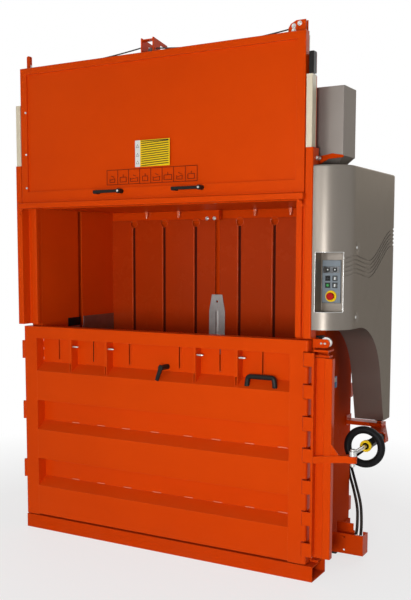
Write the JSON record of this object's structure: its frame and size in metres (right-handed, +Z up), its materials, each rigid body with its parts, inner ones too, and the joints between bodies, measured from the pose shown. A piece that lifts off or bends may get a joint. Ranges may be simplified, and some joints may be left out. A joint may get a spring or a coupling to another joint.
{
  "type": "recycling baler",
  "caption": "Large vertical recycling baler with a sliding gate, a side-hung door with a lock bar and handwheel, and a silver side hood with controls.",
  "frame": {"origin": "on the floor, under the middle cross member, midway between the front columns", "axes": "+X to the side with the lock bar and the hood, -Y out of the front, +Z up"},
  "size_m": [2.401, 1.0935, 3.092],
  "materials": {
    "orange": "gloss powder coat, lightly scuffed",
    "dark_orange": "gloss powder coat, floor dust",
    "bare_steel": "worn bare sheet",
    "zinc": "zinc plated",
    "grey_wheel": "satin",
    "cream_plastic": "satin",
    "black_plastic": "satin",
    "black_metal": "satin",
    "black_rope": "satin",
    "black_rubber": "matt",
    "chrome_rod": "polished",
    "yellow": "gloss",
    "red_plastic": "gloss",
    "silver": "metallic, semi-gloss",
    "panel_grey": "satin",
    "cabinet_grey": "satin",
    "key_grey": "satin",
    "key_white": "satin",
    "key_green": "satin"
  },
  "bodies": {
    "machine": {"base_frame": "dark_orange", "chamber_floor": "orange", "left_side_wall": "orange", "right_side_wall": "orange", "wall_liners": "bare_steel", "back_wall": "orange", "back_lining": "orange", "strap_guide_tongue": "bare_steel", "gate_posts": "orange", "gate_portal": "orange", "post_guide_strips": "cream_plastic", "gate_limit_switch": "black_plastic", "sheave_brackets": "orange", "sync_rope": "black_rope", "press_bridge": "orange", "press_cylinder": "black_metal", "door_hinges": "orange", "lock_brackets": "orange", "door_switch": "black_plastic", "hood_bracket": "orange", "hood_mount": "black_rubber", "side_hood": "silver", "control_panel": "panel_grey", "stop_plate": "yellow", "electrical_cabinet": "cabinet_grey", "oil_tank": "black_metal", "pump_motor": "cabinet_grey", "hose_guard": "orange", "hose_fittings": "zinc", "front_hose": "black_rubber", "rear_hose": "black_rubber"},
    "gate": {"gate_panel": "orange", "gate_lip": "orange", "gate_handles": "black_plastic", "gate_slide_pads": "cream_plastic"},
    "door": {"door_frame": "orange", "door_back_plate": "orange", "door_beams": "orange", "door_gussets": "orange", "gusset_pins": "zinc", "door_handle": "black_plastic"},
    "strap_lever": {"door_lever": "black_plastic"},
    "lock_arm": {"lock_bar": "orange", "swivel_bolt": "zinc"},
    "screw": {"lock_spindle": "zinc"},
    "wheel": {"handwheel": "black_metal", "wheel_collar": "yellow", "sleeve_nut": "zinc"},
    "press_plate": {"platen": "orange", "piston_rod": "chrome_rod"},
    "stage": {"cylinder_stage": "chrome_rod"},
    "roller": {"support_roller": "zinc"},
    "left_rope_wheel": {"left_sheave": "zinc"},
    "right_rope_wheel": {"right_sheave": "zinc"},
    "centre_rope_wheel": {"centre_sheave": "grey_wheel"},
    "upper_left_key": {"upper_left_button": "key_grey"},
    "upper_right_key": {"upper_right_button": "key_white"},
    "lower_left_key": {"lower_left_button": "key_green"},
    "lower_right_key": {"lower_right_button": "key_white"},
    "stop_key": {"stop_button": "red_plastic"}
  },
  "joints": [
    {"name": "gate_slide", "type": "slide", "parent": "machine", "child": "gate", "axis": [0, 0, 1], "range_m": [-0.79, 0]},
    {"name": "door_swing", "type": "hinge", "parent": "machine", "child": "door", "pos_m": [-1.018, -0.414, 0.79], "axis": [0, 0, 1], "range_deg": [-140, 0]},
    {"name": "lever_turn", "type": "hinge", "parent": "door", "child": "strap_lever", "pos_m": [0.058, -0.436, 1.145], "axis": [0, 1, 0], "range_deg": [0, 60]},
    {"name": "lock_bar_turn", "type": "hinge", "parent": "machine", "child": "lock_arm", "pos_m": [1.04, -0.36, 0.7], "axis": [0, 0, 1], "range_deg": [0, 30]},
    {"name": "screw_swivel", "type": "hinge", "parent": "lock_arm", "child": "screw", "pos_m": [1.254, -0.418, 0.757], "axis": [0, 0, 1], "range_deg": [-30, 0]},
    {"name": "wheel_spin", "type": "hinge", "parent": "machine", "child": "wheel", "pos_m": [1.254, 0.085, 0.756], "axis": [0, 1, 0], "continuous": true},
    {"name": "platen_press", "type": "slide", "parent": "machine", "child": "press_plate", "axis": [0, 0, -1], "range_m": [0, 1]},
    {"name": "stage_slide", "type": "slide", "parent": "machine", "child": "stage", "axis": [0, 0, -1], "range_m": [0, 0.5]},
    {"name": "roller_spin", "type": "hinge", "parent": "machine", "child": "roller", "pos_m": [1.073, -0.359, 1.343], "axis": [0, 1, 0], "continuous": true},
    {"name": "left_sheave_spin", "type": "hinge", "parent": "machine", "child": "left_rope_wheel", "pos_m": [-0.957, -0.383, 3.024], "axis": [0, 1, 0], "continuous": true},
    {"name": "right_sheave_spin", "type": "hinge", "parent": "machine", "child": "right_rope_wheel", "pos_m": [0.905, -0.383, 3.03], "axis": [0, 1, 0], "continuous": true},
    {"name": "centre_sheave_spin", "type": "hinge", "parent": "machine", "child": "centre_rope_wheel", "pos_m": [-0.044, -0.364, 3.021], "axis": [1, 0, 0], "continuous": true},
    {"name": "upper_left_press", "type": "slide", "parent": "machine", "child": "upper_left_key", "axis": [0, 1, 0], "range_m": [0, 0.003], "stiffness_N_per_m": 500},
    {"name": "upper_right_press", "type": "slide", "parent": "machine", "child": "upper_right_key", "axis": [0, 1, 0], "range_m": [0, 0.003], "stiffness_N_per_m": 500},
    {"name": "lower_left_press", "type": "slide", "parent": "machine", "child": "lower_left_key", "axis": [0, 1, 0], "range_m": [0, 0.003], "stiffness_N_per_m": 500},
    {"name": "lower_right_press", "type": "slide", "parent": "machine", "child": "lower_right_key", "axis": [0, 1, 0], "range_m": [0, 0.003], "stiffness_N_per_m": 500},
    {"name": "stop_press", "type": "slide", "parent": "machine", "child": "stop_key", "axis": [0, 1, 0], "range_m": [0, 0.004], "stiffness_N_per_m": 900}
  ],
  "couplings": [
    {"joint": "screw_swivel", "follows": "lock_bar_turn", "ratio": -1},
    {"joint": "stage_slide", "follows": "platen_press", "ratio": 0.5}
  ]
}
